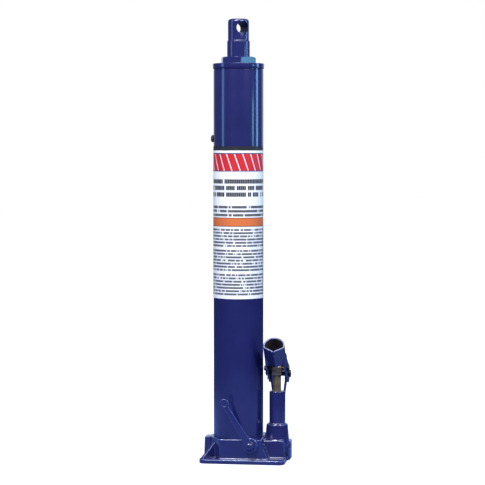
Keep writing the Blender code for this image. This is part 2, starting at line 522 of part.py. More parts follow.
def release_valve(paint, steel, rubber):
    axis = (RELEASE_X, 0, RELEASE_Z)
    place = Matrix.Translation(axis) @ TO_MINUS_Y
    section = [(0, STEM_TIP), (1.6, STEM_TIP), (STEM_R, STEM_TIP + 2.4), (STEM_R, STEM_SHOULDER),
               (2.6, STEM_SHOULDER),
               (2.6, LEVER_OUT - 0.2), (0, LEVER_OUT - 0.2)]
    stem = add("release_stem", moved(turned(section, SMALL_SIDES), place), steel, axis)
    cut(stem, "tapped_hole", moved(rod(1.8, 40, 60, 16), place))
    seal = [(4.6 + 0.75 * math.cos(math.pi * k / 4), 40.6 + 0.9 * math.sin(math.pi * k / 4)) for k in range(8)]
    add("release_o_ring", moved(turned(seal, SMALL_SIDES), place), rubber)
    add("release_gland_washer", moved(ring(3.8, 5.3, 42, 43.6, SMALL_SIDES), place), steel)
    neck = math.degrees(math.asin(LEVER_NECK / LEVER_EYE_R))
    outline = (arc((0, 0), LEVER_HUB_R, 82, 278, 12)
               + arc((LEVER_LENGTH, 0), LEVER_EYE_R, neck - 180, 180 - neck, 16))
    swing = Matrix.Translation(axis) @ Matrix.Rotation(math.radians(-LEVER_TURN), 4, "Y")
    lever = add("release_lever", moved(across_y(outline, LEVER_IN, LEVER_OUT), swing), paint, axis)
    cut(lever, "hub_hole", moved(rod(2.9, 40, 60, 20), place))
    eye = moved(rod(LEVER_HOLE_R, 40, 60, 20), Matrix.Translation((LEVER_LENGTH, 0, 0)) @ TO_MINUS_Y)
    cut(lever, "eye_hole", moved(eye, swing))
    head = [(0, 42), (1.5, 42), (1.5, LEVER_OUT + GAP), (4.3, LEVER_OUT + GAP), (4.3, 52), (3.3, 53), (0, 53)]
    screw = add("lever_screw", moved(turned(head, SMALL_SIDES), place), steel, axis)
    cut(screw, "drive", moved(box((-3, -0.45, 51.8), (3, 0.45, 60)), place))


def main():
    clear_scene()
    paint = finish("blue_paint", (0.028, 0.036, 0.16), 0.32, 0.0)
    steel = finish("ground_steel", (0.52, 0.5, 0.48), 0.28, 1.0)
    dark = finish("dark_steel", (0.05, 0.048, 0.05), 0.5, 1.0)
    bronze = finish("bronze", (0.5, 0.31, 0.12), 0.4, 1.0)
    copper = finish("copper", (0.6, 0.25, 0.13), 0.4, 1.0)
    rubber = finish("black_rubber", (0.02, 0.02, 0.022), 0.7, 0.0)
    paper = finish("label_paper", (0.86, 0.84, 0.82), 0.45, 0.0)
    body = casting_body(paint)
    casting_bosses(body)
    casting_cuts(body)
    casting_passages(body)
    passage_plugs(steel)
    tank(paint, rubber, copper)
    pressure_cylinder(steel, bronze)
    top_nut(paint, rubber)
    ram(paint, steel, rubber)
    filler_plug(rubber)
    label(paper)
    pump(paint, steel, copper, rubber)
    handle_socket(paint)
    link_bars(paint)
    pin_and_cotter("plunger", PIN_A, EAR_OUT + 0.4, dark, dark, (PUMP_X, *PIN_B))
    pin_and_cotter("link_upper", PIN_B, EAR_OUT + 0.3, dark, dark, (PUMP_X, *PIN_C))
    pin_and_cotter("link_lower", PIN_C, LINK_LOW_OUT + 0.4, dark, dark, (PUMP_X, *PIN_C))
    foot_valves(steel, bronze)
    release_valve(paint, steel, rubber)


main()
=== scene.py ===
"""Looks of the long-ram hydraulic jack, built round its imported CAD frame. Lengths in this file are millimetres."""

import json
import math

import bmesh
import bpy
from mathutils import Matrix, Vector

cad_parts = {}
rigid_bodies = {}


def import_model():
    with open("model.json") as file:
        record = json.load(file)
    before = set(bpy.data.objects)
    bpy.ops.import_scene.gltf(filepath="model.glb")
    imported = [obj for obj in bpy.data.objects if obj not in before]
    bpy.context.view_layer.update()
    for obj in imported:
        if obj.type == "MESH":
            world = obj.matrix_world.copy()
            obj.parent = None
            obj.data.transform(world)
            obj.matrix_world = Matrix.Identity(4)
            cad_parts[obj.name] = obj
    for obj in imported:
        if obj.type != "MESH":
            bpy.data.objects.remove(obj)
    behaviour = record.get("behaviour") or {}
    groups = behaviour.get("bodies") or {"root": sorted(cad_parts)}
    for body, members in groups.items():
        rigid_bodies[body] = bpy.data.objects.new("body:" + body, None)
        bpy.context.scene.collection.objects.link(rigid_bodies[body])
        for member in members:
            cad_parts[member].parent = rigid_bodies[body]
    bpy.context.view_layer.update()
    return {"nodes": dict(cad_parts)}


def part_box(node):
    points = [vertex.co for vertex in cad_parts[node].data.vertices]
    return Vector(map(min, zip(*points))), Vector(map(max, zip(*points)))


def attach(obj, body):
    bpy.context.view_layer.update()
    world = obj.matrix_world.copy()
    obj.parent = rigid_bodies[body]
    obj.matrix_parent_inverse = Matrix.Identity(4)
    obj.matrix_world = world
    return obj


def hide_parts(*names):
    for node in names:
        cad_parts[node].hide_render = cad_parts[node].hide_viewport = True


for leftover in list(bpy.data.objects):
    bpy.data.objects.remove(leftover, do_unlink=True)
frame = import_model()

MM = 0.001
FINE = 128
SMALL = 48
TO_MINUS_Y = Matrix.Rotation(math.radians(90), 4, "X")
TO_PLUS_X = Matrix.Rotation(math.radians(90), 4, "Y")
TO_MINUS_X = Matrix.Rotation(math.radians(-90), 4, "Y")


def corners(node):
    """Lowest and highest corner of a CAD node, in millimetres."""
    low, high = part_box(node)
    return low / MM, high / MM


def middle(node):
    low, high = corners(node)
    return (low + high) / 2


# ---------------------------------------------------------------- shapes


def softened(section, radius, steps=3, closed=True):
    """The section with its corners rounded, as far as the sides beside each corner allow."""
    points = [Vector(p) for p in section]
    count = len(points)
    outline = []
    for k, here in enumerate(points):
        if not closed and k in (0, count - 1):
            outline.append(tuple(here))
            continue
        back = points[k - 1] - here
        onward = points[(k + 1) % count] - here
        turn = back.angle(onward)
        reach = min(radius / math.tan(turn / 2), 0.45 * back.length, 0.45 * onward.length)
        if turn > math.radians(172) or reach < 0.01:
            outline.append(tuple(here))
            continue
        start, end = here + back.normalized() * reach, here + onward.normalized() * reach
        for step in range(steps + 1):
            t = step / steps
            outline.append(tuple(start * (1 - t) ** 2 + here * 2 * t * (1 - t) + end * t * t))
    return outline


def turned(section, sides=FINE):
    """A section of (radius, height) turned about Z: solid if it starts on the axis, otherwise a ring."""
    bm = bmesh.new()
    rings = []
    for radius, height in section:
        if radius == 0:
            rings.append([bm.verts.new((0, 0, height))] * sides)
            continue
        angles = [2 * math.pi * step / sides for step in range(sides)]
        rings.append([bm.verts.new((radius * math.cos(a), radius * math.sin(a), height)) for a in angles])
    pairs = list(zip(rings, rings[1:]))
    if section[0][0] != 0:
        pairs.append((rings[-1], rings[0]))
    for low, high in pairs:
        for step in range(sides):
            after = (step + 1) % sides
            loop = dict.fromkeys((low[step], low[after], high[after], high[step]))
            bm.faces.new(tuple(loop))
    bmesh.ops.recalc_face_normals(bm, faces=bm.faces[:])
    return bm


def soft_ring(inner, outer, low, high, radius=0.3, sides=FINE):
    section = [(inner, low), (outer, low), (outer, high), (inner, high)]
    return turned(softened(section, radius), sides)


def soft_rod(section, radius, sides=SMALL):
    return turned(softened(section, radius, closed=False), sides)


def extruded(outline, low, high, spread=1.0):
    bm = bmesh.new()
    bottom = [bm.verts.new((x, y, low)) for x, y in outline]
    top = [bm.verts.new((x * spread, y * spread, high)) for x, y in outline]
    bm.faces.new(bottom)
    bm.faces.new(top)
    for step in range(len(outline)):
        after = (step + 1) % len(outline)
        bm.faces.new((bottom[step], bottom[after], top[after], top[step]))
    bmesh.ops.recalc_face_normals(bm, faces=bm.faces[:])
    return bm


def arc(centre, radius, start, end, steps):
    angles = [math.radians(start + (end - start) * k / steps) for k in range(steps + 1)]
    return [(centre[0] + radius * math.cos(a), centre[1] + radius * math.sin(a)) for a in angles]


def moved(bm, matrix):
    bmesh.ops.transform(bm, matrix=matrix, verts=bm.verts[:])
    return bm


def at(x, y, z):
    return Matrix.Translation((x, y, z))


# ---------------------------------------------------------------- materials


class Nodes:
    """Short calls for building a shader's node tree."""

    def __init__(self, name):
        self.material = bpy.data.materials.new(name)
        self.material.use_nodes = True
        self.tree = self.material.node_tree
        self.shader = self.tree.nodes["Principled BSDF"]
        self.place = self.new("ShaderNodeTexCoord").outputs["Object"]

    def new(self, kind, **settings):
        node = self.tree.nodes.new(kind)
        for key, value in settings.items():
            setattr(node, key, value)
        return node

    def feed(self, socket, value):
        if isinstance(value, bpy.types.NodeSocket):
            self.tree.links.new(value, socket)
        else:
            socket.default_value = value

    def math(self, operation, *values):
        node = self.new("ShaderNodeMath", operation=operation)
        for socket, value in zip(node.inputs, values):
            self.feed(socket, value)
        return node.outputs[0]

    def noise(self, scale, detail=3, rough=0.5, where=None, stretch=None):
        node = self.new("ShaderNodeTexNoise")
        where = self.place if where is None else where
        if stretch:
            mapping = self.new("ShaderNodeMapping")
            mapping.inputs["Scale"].default_value = stretch
            self.feed(mapping.inputs["Vector"], where)
            where = mapping.outputs[0]
        self.feed(node.inputs["Vector"], where)
        node.inputs["Scale"].default_value = scale
        node.inputs["Detail"].default_value = detail
        node.inputs["Roughness"].default_value = rough
        return node.outputs["Fac"]

    def ramp(self, value, low, high, out_low=0.0, out_high=1.0):
        node = self.new("ShaderNodeMapRange")
        for key, number in (("From Min", low), ("From Max", high), ("To Min", out_low), ("To Max", out_high)):
            node.inputs[key].default_value = number
        self.feed(node.inputs["Value"], value)
        return node.outputs[0]

    def mix(self, factor, first, second):
        node = self.new("ShaderNodeMix", data_type="RGBA")
        self.feed(node.inputs["Factor"], factor)
        self.feed(node.inputs[6], first if isinstance(first, bpy.types.NodeSocket) else (*first, 1))
        self.feed(node.inputs[7], second if isinstance(second, bpy.types.NodeSocket) else (*second, 1))
        return node.outputs[2]

    def bump(self, layers):
        """Bump from (height, depth in mm) layers."""
        normal = None
        for height, depth in layers:
            node = self.new("ShaderNodeBump")
            node.inputs["Distance"].default_value = depth * MM
            self.feed(node.inputs["Height"], height)
            if normal is not None:
                self.feed(node.inputs["Normal"], normal)
            normal = node.outputs[0]
        self.feed(self.shader.inputs["Normal"], normal)

    def set(self, **values):
        for key, value in values.items():
            self.feed(self.shader.inputs[key.replace("_", " ")], value)


BLUE = (0.0135, 0.0158, 0.092)
BLUE_DEEP = (0.0105, 0.012, 0.078)
# Lighter blue for castings' edges: thinned paint there, and a painted highlight along the edges.
BLUE_THIN_PAINT_AND_HIGHLIGHT = (0.09, 0.17, 0.50)


def blue_paint(name, cast):
    """Glossy navy enamel: a trace of orange peel on tube; on castings, sand-cast grain and a lighter blue on edges
    that is thinned paint and a painted highlight.
    """
    n = Nodes(name)
    body = n.mix(n.ramp(n.noise(28, 4), 0.3, 0.7), BLUE_DEEP, BLUE)
    smear = n.noise(60, 5, 0.6)
    if cast:
        # Castings' edges, found by pointiness, are painted lighter in patches: thinned paint and a painted highlight.
        edge = n.ramp(n.new("ShaderNodeNewGeometry").outputs["Pointiness"], 0.51, 0.57)
        body = n.mix(n.math("MULTIPLY", edge, n.ramp(n.noise(260, 3), 0.3, 0.65, 0.15, 0.9)), body, BLUE_THIN_PAINT_AND_HIGHLIGHT)
        n.bump([(n.noise(150, 4, 0.6), 0.14), (n.noise(900, 3, 0.6), 0.03), (n.noise(420, 2), 0.02)])
    else:
        n.bump([(n.noise(70, 2), 0.03), (n.noise(420, 2), 0.008)])
    n.set(Base_Color=body, Roughness=n.ramp(smear, 0.3, 0.7, 0.14, 0.26 if cast else 0.22))
    n.set(Coat_Weight=0.6, Coat_Roughness=0.06, Specular_IOR_Level=0.5)
    return n.material


def bare_metal(name, colour, rough, stretch, depth=0.01, tint=None, metallic=1.0):
    """Machined metal: fine tool marks along one direction, oil stains and a slight change of tone."""
    n = Nodes(name)
    marks = n.noise(900, 3, 0.6, stretch=stretch)
    stain = n.noise(95, 5, 0.6)
    darker = tint or tuple(c * 0.5 for c in colour)
    n.set(Base_Color=n.mix(n.ramp(stain, 0.35, 0.75), colour, darker), Metallic=metallic)
    mixed = n.math("ADD", n.math("MULTIPLY", marks, 0.5), n.math("MULTIPLY", stain, 0.5))
    n.set(Roughness=n.ramp(mixed, 0.3, 0.7, rough * 0.7, rough * 1.5))
    n.bump([(marks, depth)])
    return n.material


def rubber(name):
    n = Nodes(name)
    n.set(Base_Color=n.mix(n.ramp(n.noise(180, 4), 0.35, 0.7), (0.010, 0.011, 0.014), (0.026, 0.027, 0.031)))
    n.set(Roughness=n.ramp(n.noise(240, 3), 0.3, 0.7, 0.5, 0.75))
    n.bump([(n.noise(1500, 2), 0.05)])
    return n.material


LABEL_HIGH = corners("label")[1].z
LABEL_RADIUS = corners("reservoir_tube")[1].x + 0.3


# top, lines, pitch, letter height, cell width, share of cells printed, seed
DASH_BLOCKS = [
    (396.5, 3, 9.1, 6.0, 2.6, 0.86, 3),
    (359.6, 3, 5.6, 3.5, 1.5, 0.86, 11),
    (327.6, 6, 4.45, 2.7, 1.15, 0.84, 23),
    (298.4, 7, 4.45, 2.7, 1.15, 0.84, 41),
    (264.6, 7, 4.45, 2.7, 1.15, 0.84, 67),
]
RED_BAND, RED_RIM = (408.6, 431.6), (407.2, 433.0)
ORANGE_BAND, ORANGE_RIM = (331.4, 342.4), (330.6, 343.2)
HEAD_BAND = 5.9


def line_block(n, along, height, top, lines, pitch, letter, cell, share, seed):
    """1 where a block of text-like dashes prints: rows from top downwards, cells picked at random."""
    fall = n.math("DIVIDE", n.math("SUBTRACT", top, height), pitch)
    row = n.math("FLOOR", fall)
    inside = n.math("MULTIPLY", n.math("GREATER_THAN", fall, 0), n.math("LESS_THAN", fall, lines))
    printed = n.math("LESS_THAN", n.math("FRACT", fall), letter / pitch)
    column = n.math("FLOOR", n.math("DIVIDE", along, cell))
    pick = n.new("ShaderNodeTexWhiteNoise", noise_dimensions="2D")
    place = n.new("ShaderNodeCombineXYZ")
    n.feed(place.inputs[0], column)
    n.feed(place.inputs[1], n.math("ADD", row, seed))
    n.feed(pick.inputs["Vector"], place.outputs[0])
    dash = n.math("LESS_THAN", pick.outputs["Value"], share)
    gap = n.math("LESS_THAN", n.math("FRACT", n.math("DIVIDE", along, cell)), 0.88)
    return n.math("MULTIPLY", n.math("MULTIPLY", inside, printed), n.math("MULTIPLY", dash, gap))


def between(n, value, low, high):
    return n.math("MULTIPLY", n.math("GREATER_THAN", value, low), n.math("LESS_THAN", value, high))


def label_print():
    """White film with a black head band, a plain red band, an orange band and dashes in place of words."""
    n = Nodes("label_film")
    axes = n.new("ShaderNodeSeparateXYZ")
    n.feed(axes.inputs[0], n.place)
    across = n.math("ARCTAN2", axes.outputs[0], n.math("MULTIPLY", axes.outputs[1], -1))
    along = n.math("MULTIPLY", across, LABEL_RADIUS)
    height = n.math("DIVIDE", axes.outputs[2], MM)
    wobble = n.math("MULTIPLY", n.math("SUBTRACT", n.noise(1300, 2), 0.5), 0.35)
    rough_height = n.math("ADD", height, wobble)
    ink = None
    for block in DASH_BLOCKS:
        one = line_block(n, along, rough_height, *block)
        ink = one if ink is None else n.math("MAXIMUM", ink, one)
    film = n.mix(n.ramp(n.noise(40, 4), 0.3, 0.7), (0.90, 0.89, 0.88), (0.86, 0.85, 0.84))
    colour = n.mix(ink, film, (0.008, 0.008, 0.010))
    slant = n.math("ADD", along, n.math("MULTIPLY", height, 0.35))
    stripe = n.math("LESS_THAN", n.math("FRACT", n.math("DIVIDE", slant, 11.5)), 0.13)
    colour = n.mix(between(n, height, *RED_RIM), colour, (0.05, 0.06, 0.16))
    red = n.mix(stripe, (0.60, 0.018, 0.026), (0.82, 0.80, 0.80))
    colour = n.mix(between(n, height, *RED_BAND), colour, red)
    colour = n.mix(between(n, height, *ORANGE_RIM), colour, (0.02, 0.02, 0.025))
    colour = n.mix(between(n, height, *ORANGE_BAND), colour, (0.66, 0.16, 0.045))
    colour = n.mix(n.math("GREATER_THAN", height, LABEL_HIGH - HEAD_BAND), colour, (0.016, 0.017, 0.022))
    n.set(Base_Color=colour, Roughness=n.ramp(n.noise(70, 4), 0.3, 0.7, 0.3, 0.42))
    n.set(Coat_Weight=0.25, Coat_Roughness=0.12)
    n.bump([(n.noise(45, 3), 0.12), (n.noise(900, 2), 0.012)])
    return n.material


def pale_floor():
    """White to look at with a faint shadow; a dim blue to the jack's gloss, like a floor outside the light."""
    n = Nodes("pale_floor")
    seen = n.new("ShaderNodeLightPath").outputs["Is Camera Ray"]
    reach = n.new("ShaderNodeVectorMath", operation="LENGTH")
    n.feed(reach.inputs[0], n.place)
    away = n.math("ADD", reach.outputs["Value"], n.math("MULTIPLY", n.noise(3, 2), 0.05))
    mirrored = n.mix(n.ramp(away, 0.3, 0.6), (0.12, 0.17, 0.42), (0.035, 0.05, 0.13))
    n.set(Base_Color=n.mix(seen, mirrored, (0.24, 0.24, 0.24)), Roughness=0.9)
    glow = n.ramp(away, 0.2, 1.3, 0.82, 1.0)
    n.set(Emission_Color=(1, 1, 1, 1), Emission_Strength=n.math("MULTIPLY", seen, glow), Specular_IOR_Level=0)
    return n.material


PAINT = blue_paint("blue_enamel", cast=False)
CAST_PAINT = blue_paint("blue_enamel_on_casting", cast=True)
EVEN, ALONG_ROD = (1, 1, 1), (0.15, 0.15, 3)
ROD_STEEL = bare_metal("ground_rod_steel", (0.60, 0.59, 0.58), 0.27, ALONG_ROD,
                       tint=(0.46, 0.45, 0.43), metallic=0.55)
PLUNGER_STEEL = bare_metal("oiled_plunger_steel", (0.33, 0.26, 0.16), 0.22, ALONG_ROD,
                           tint=(0.09, 0.055, 0.03), metallic=0.55)
TURNED_STEEL = bare_metal("turned_steel", (0.48, 0.47, 0.46), 0.3, EVEN)
DARK_STEEL = bare_metal("black_oxide_steel", (0.075, 0.074, 0.085), 0.38, EVEN)
# Dark brownish raw steel for the socket's bore: unpainted metal, darkened as painted shade inside the bore.
RAW_STEEL_AS_BORE_SHADE = bare_metal("raw_steel_and_painted_bore_shade", (0.10, 0.075, 0.06), 0.55, EVEN, metallic=0.4)
BRONZE = bare_metal("turned_bronze", (0.56, 0.36, 0.15), 0.32, (0.2, 0.2, 2))
COPPER = bare_metal("soft_copper", (0.66, 0.30, 0.17), 0.34, EVEN)
RUBBER = rubber("black_rubber")
FILM = label_print()


# ---------------------------------------------------------------- pieces


def add(name, bm, material, body, slot, *nodes, edge=32):
    """A piece from a shape in millimetres, riding on a body in place of its CAD nodes."""
    bmesh.ops.scale(bm, vec=(MM, MM, MM), verts=bm.verts[:])
    mesh = bpy.data.meshes.new(name)
    bm.to_mesh(mesh)
    bm.free()
    settle(name, mesh, material, body, slot, *nodes, edge=edge)


def placed(name, data, body, slot, *nodes):
    """An object in the scene that rides on a body, in place of its CAD nodes if it has any."""
    obj = bpy.data.objects.new(name, data)
    bpy.context.scene.collection.objects.link(obj)
    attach(obj, body)
    if nodes:
        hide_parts(*nodes)
    return obj


def settle(name, mesh, material, body, slot, *nodes, edge=32):
    """A piece from a mesh in metres, smooth up to the given edge angle."""
    mesh.materials.clear()
    mesh.materials.append(material)
    mesh.shade_smooth()
    mesh.set_sharp_from_angle(angle=math.radians(edge))
    return placed(name, mesh, body, slot, *nodes)


def baked(obj):
    """The object's evaluated mesh, with its modifiers applied, in place of the object."""
    bpy.context.view_layer.update()
    graph = bpy.context.evaluated_depsgraph_get()
    mesh = bpy.data.meshes.new_from_object(obj.evaluated_get(graph))
    bpy.data.objects.remove(obj, do_unlink=True)
    return mesh


def helper(bm):
    """An object for modifiers to work on, later baked or removed."""
    bmesh.ops.scale(bm, vec=(MM, MM, MM), verts=bm.verts[:])
    mesh = bpy.data.meshes.new("helper")
    bm.to_mesh(mesh)
    bm.free()
    obj = bpy.data.objects.new("helper", mesh)
    bpy.context.scene.collection.objects.link(obj)
    return obj


def cast_over(name, node, voxel, rounds, material, body, slot):
    """The node's own shape with every edge and inner corner run soft, as cast or stamped and painted metal is."""
    bm = bmesh.new()
    bm.from_mesh(frame["nodes"][node].data)
    bmesh.ops.scale(bm, vec=(1 / MM,) * 3, verts=bm.verts[:])
    obj = helper(bm)
    remesh = obj.modifiers.new("skin", "REMESH")
    remesh.mode = "VOXEL"
    remesh.voxel_size = voxel * MM
    soften = obj.modifiers.new("soften", "SMOOTH")
    soften.factor = 0.5
    soften.iterations = rounds
    return settle(name, baked(obj), material, body, slot, node, edge=180)


SOCKET_RISE = math.radians(47)
SOCKET_MOUTH = Vector((55, -40, 166.5))
SOCKET_BORE_R = 13.1
KEEL_SIDE, KEEL_UP, KEEL_REACH = 0.52, 0.854, 8.94
RAW_FROM, RAW_TO = -38, -0.9


def raw_bore_and_painted_shade(piece):
    """Leave the inside of the handle socket unpainted, in a dark steel that also stands for painted shade inside the
    bore.
    """
    piece.data.materials.append(RAW_STEEL_AS_BORE_SHADE)
    rise = SOCKET_RISE
    mouth, back = SOCKET_MOUTH, Vector((0, math.sin(rise), math.cos(rise)))
    axis = Vector((0, -math.cos(rise), math.sin(rise)))
    for face in piece.data.polygons:
        spot = face.center / MM - mouth
        along, above, across = spot.dot(axis), spot.dot(back), abs(spot.x)
        inside_keel = across * KEEL_SIDE - above * KEEL_UP < KEEL_REACH
        if RAW_FROM < along < RAW_TO and math.hypot(above, across) < SOCKET_BORE_R and inside_keel:
            face.material_index = 1


TANK_WALL = 3.5


def tank():
    low, high = corners("reservoir_tube")
    outer = high.x
    tube = soft_ring(outer - TANK_WALL, outer, low.z, high.z, 0.5)
    add("tank_tube", tube, PAINT, "base", "paint", "reservoir_tube")
    for node in ("tank_top_gasket", "tank_bottom_gasket"):
        low, high = corners(node)
        add(f"{node}_ring", soft_ring(outer - 3.4, outer - 1.4, low.z, high.z, 0.2), RUBBER, "base", "rubber", node)
        bead = soft_ring(outer - 1.3, outer - 0.25, low.z - 0.4, high.z + 0.4, 0.3)
        add(f"{node}_paint_bead", bead, PAINT, "base", "paint")


def hex_head(low, high, corner, turn, bore):
    """A hexagon with its top corners turned off at 30 degrees and a bored centre."""
    apothem = corner * math.cos(math.radians(30))
    bm = bmesh.new()
    rings = {"base": [], "side": [], "rim": [], "lip": [], "bore": [], "foot": []}
    for step in range(FINE * 2):
        angle = 2 * math.pi * step / (FINE * 2)
        face = (math.degrees(angle) - turn) % 60 - 30
        reach = min(apothem / math.cos(math.radians(face)), corner - 0.35)
        top = high - max(0.0, reach - apothem + 0.5) * 0.55
        points = {"base": (reach, low), "side": (reach, top), "rim": (apothem - 0.5, high), "lip": (bore + 0.5, high),
                  "bore": (bore, high - 0.5), "foot": (bore, low)}
        for key, (radius, height) in points.items():
            rings[key].append(bm.verts.new((radius * math.cos(angle), radius * math.sin(angle), height)))
    order = list(rings.values())
    for first, second in zip(order, order[1:] + order[:1]):
        for step in range(len(first)):
            after = (step + 1) % len(first)
            bm.faces.new((first[step], first[after], second[after], second[step]))
    bmesh.ops.recalc_face_normals(bm, faces=bm.faces[:])
    return bm


HEX_FOOT, HEX_CORNER, HEX_TURN = 557.7, 26.6, -77
NUT_BORE = 16.4


def top_nut():
    low, high = corners("top_nut")
    inner = corners("reservoir_tube")[1].x - 3.8
    section = [(NUT_BORE, 553), (19, 553), (19, 546.3), (24.3, 546.3), (24.3, low.z), (inner, low.z), (inner, 550.5),
               (high.x, 550.5), (high.x, HEX_FOOT), (NUT_BORE, HEX_FOOT)]
    add("top_nut_flange", turned(softened(section, 0.7)), PAINT, "base", "paint", "top_nut")
    head = hex_head(HEX_FOOT - 1.5, high.z, HEX_CORNER, HEX_TURN, NUT_BORE)
    add("top_nut_hexagon", head, PAINT, "base", "paint", edge=24)
    fillet = [(HEX_CORNER - 3.2, HEX_FOOT - 0.4), (HEX_CORNER - 0.6, HEX_FOOT - 0.4),
              (HEX_CORNER - 0.8, HEX_FOOT + 0.1), (HEX_CORNER - 3.2, HEX_FOOT + 0.5)]
    add("top_nut_paint_fillet", turned(softened(fillet, 0.3)), PAINT, "base", "paint")
    low, high = corners("ram_wiper")
    lip = [(16.05, low.z), (18.7, low.z), (18.7, high.z), (16.4, high.z)]
    add("ram_wiper_ring", turned(softened(lip, 0.2)), RUBBER, "base", "rubber", "ram_wiper")


PAINT_LINE = 567.8
EYE_HOLE_R, EYE_HOLE_Z, EYE_HOLE_TURN = 9, 607.4, 35


def ram():
    low, high = corners("ram")
    rod_r, stud_r, shoulder, eye_r, eye_foot = high.x, 7, 44, 14.8, 590
    rim = arc((eye_r - 4, high.z - 4), 4, 0, 90, 10)
    section = softened([(0, low.z), (stud_r, low.z), (stud_r, shoulder), (rod_r, shoulder), (rod_r, PAINT_LINE - 0.5),
                        (rod_r, PAINT_LINE + 0.5), (rod_r, eye_foot - 1.4), (eye_r, eye_foot + 0.4),
                        (eye_r, high.z - 4.05)], 0.7, closed=False)
    shape = helper(turned(section + rim + [(0, high.z)]))
    turn = math.radians(EYE_HOLE_TURN)
    heading = Vector((math.sin(turn), -math.cos(turn), 0)).to_track_quat("Z", "Y").to_matrix().to_4x4()
    drill = turned([(0, -30), (EYE_HOLE_R, -30), (EYE_HOLE_R, 30), (0, 30)], 96)
    tool = helper(moved(drill, at(0, 0, EYE_HOLE_Z) @ heading))
    hole = shape.modifiers.new("hole", "BOOLEAN")
    hole.object = tool
    bevel = shape.modifiers.new("bevel", "BEVEL")
    bevel.width = 0.7 * MM
    bevel.segments = 3
    bevel.limit_method = "ANGLE"
    bevel.angle_limit = math.radians(40)
    mesh = baked(shape)
    bpy.data.objects.remove(tool, do_unlink=True)
    settle("ram_rod", mesh, PAINT, "ram", "paint", "ram")
    mesh.materials.append(ROD_STEEL)
    for face in mesh.polygons:
        if face.center.z < (PAINT_LINE - 0.3) * MM:
            face.material_index = 1


def label():
    """A thin film round the front of the tank."""
    low, high = corners("label")
    inner, outer = LABEL_RADIUS - 0.02, LABEL_RADIUS + 0.2
    outline = arc((0, 0), outer, -192, -7, 160) + arc((0, 0), inner, -7, -192, 160)
    add("label_film", extruded(outline, low.z, high.z), FILM, "base", "label", "label", edge=50)


def filler_plug():
    low, high = corners("filler_plug")
    centre = middle("filler_plug")
    head_r = (high.z - low.z) / 2
    section = [(0, -high.x), (2.9, -high.x), (3.7, -high.x + 0.8), (3.7, 35.3), (head_r, 35.5), (head_r, 37.2),
               (head_r - 1.8, -low.x), (0, -low.x)]
    piece = moved(soft_rod(section, 0.8), at(0, 0, centre.z) @ TO_MINUS_X)
    add("filler_plug_moulding", piece, RUBBER, "filler_plug", "rubber", "filler_plug")


PUMP = middle("pump_cylinder")


def pump():
    low, high = corners("pump_cylinder")
    outer = (high.x - low.x) / 2
    section = [(5.8, low.z), (9, low.z), (9, 53.5), (outer, 53.5), (outer, high.z), (5.8, high.z)]
    soft = turned(softened(section, 1.3, 5))
    add("pump_barrel", moved(soft, at(PUMP.x, PUMP.y, 0)), PAINT, "base", "paint", "pump_cylinder")
    low, high = corners("pump_cylinder_gasket")
    washer = soft_ring(9.3, (high.x - low.x) / 2 - 1, low.z, high.z, 0.2)
    add("pump_barrel_gasket", moved(washer, at(PUMP.x, PUMP.y, 0)), COPPER, "base", "copper", "pump_cylinder_gasket")
    bead = [(outer - 0.6, low.z - 0.4), (outer + 1.5, low.z - 0.4),
            (outer + 0.7, high.z - 0.3), (outer - 0.2, high.z + 0.9)]
    add("pump_barrel_paint_bead", moved(turned(softened(bead, 0.4)), at(PUMP.x, PUMP.y, 0)), PAINT, "base", "paint")


def plunger():
    """A ground rod with a milled and drilled head."""
    low, high = corners("plunger")
    rod_section = [(0, low.z), (3, low.z), (3, 61), (5.5, 61), (5.5, 124), (0, 124)]
    rod = moved(soft_rod(rod_section, 0.4, 96), at(PUMP.x, PUMP.y, 0))
    add("plunger_rod", rod, PLUNGER_STEEL, "plunger", "steel", "plunger")
    pin = middle("plunger_pin")
    eye_r = (high.y - low.y) / 2
    side = [*arc((0, pin.z), eye_r, 0, 180, 24), (-eye_r, 121.5), (-5.6, 119.6), (5.6, 119.6), (eye_r, 121.5)]
    to_x = Matrix(((0, 0, 1, PUMP.x), (1, 0, 0, PUMP.y), (0, 1, 0, 0), (0, 0, 0, 1)))
    head = helper(moved(extruded(side, low.x - PUMP.x, high.x - PUMP.x), to_x))
    slot = [*arc((1.2, pin.z), 4.1, -90, 90, 16), *arc((-1.2, pin.z), 4.1, 90, 270, 16)]
    tool = helper(moved(extruded(slot, -12, 12), to_x))
    cut = head.modifiers.new("slot", "BOOLEAN")
    cut.object = tool
    bevel = head.modifiers.new("bevel", "BEVEL")
    bevel.width = 0.6 * MM
    bevel.segments = 3
    bevel.angle_limit = math.radians(40)
    mesh = baked(head)
    bpy.data.objects.remove(tool, do_unlink=True)
    settle("plunger_head", mesh, PLUNGER_STEEL, "plunger", "steel")


def pin(node, body, cotter):
    """A headed pin along X, and the split pin through its end."""
    low, high = corners(node)
    centre = middle(node)
    left, right = low.x - centre.x, high.x - centre.x
    head_r = (high.z - low.z) / 2
    shank_r, head = head_r - 1.6, 2.6
    section = [(0, left), (shank_r, left), (shank_r, right - head),
               (head_r, right - head), (head_r, right), (0, right)]
    place = at(*centre) @ TO_PLUS_X
    add(f"{node}_turned", moved(soft_rod(section, 0.6), place), DARK_STEEL, body, "pin_steel", node)
    x = middle(cotter).x
    y, z = centre.y, centre.z
    loop = arc((y - 0.6, z + 6.6), 2.2, -60, 220, 14)
    route = [(y - 3, z - 7.4), (y - 1.6, z - 6.6), (y - 0.4, z - 5.4), (y, z - 4.4), (y, z), (y, z + 3.6)] + loop
    curve = bpy.data.curves.new(f"{cotter}_wire", "CURVE")
    curve.dimensions = "3D"
    curve.bevel_depth = 0.78 * MM
    curve.bevel_resolution = 4
    curve.use_fill_caps = True
    spline = curve.splines.new("BEZIER")
    spline.bezier_points.add(len(route) - 1)
    for knot, (py, pz) in zip(spline.bezier_points, route):
        knot.co = Vector((x, py, pz)) * MM
        knot.handle_left_type = knot.handle_right_type = "AUTO"
    curve.materials.append(DARK_STEEL)
    placed(f"{cotter}_wire", curve, body, "pin_steel", cotter)


RELEASE = middle("release_stem")


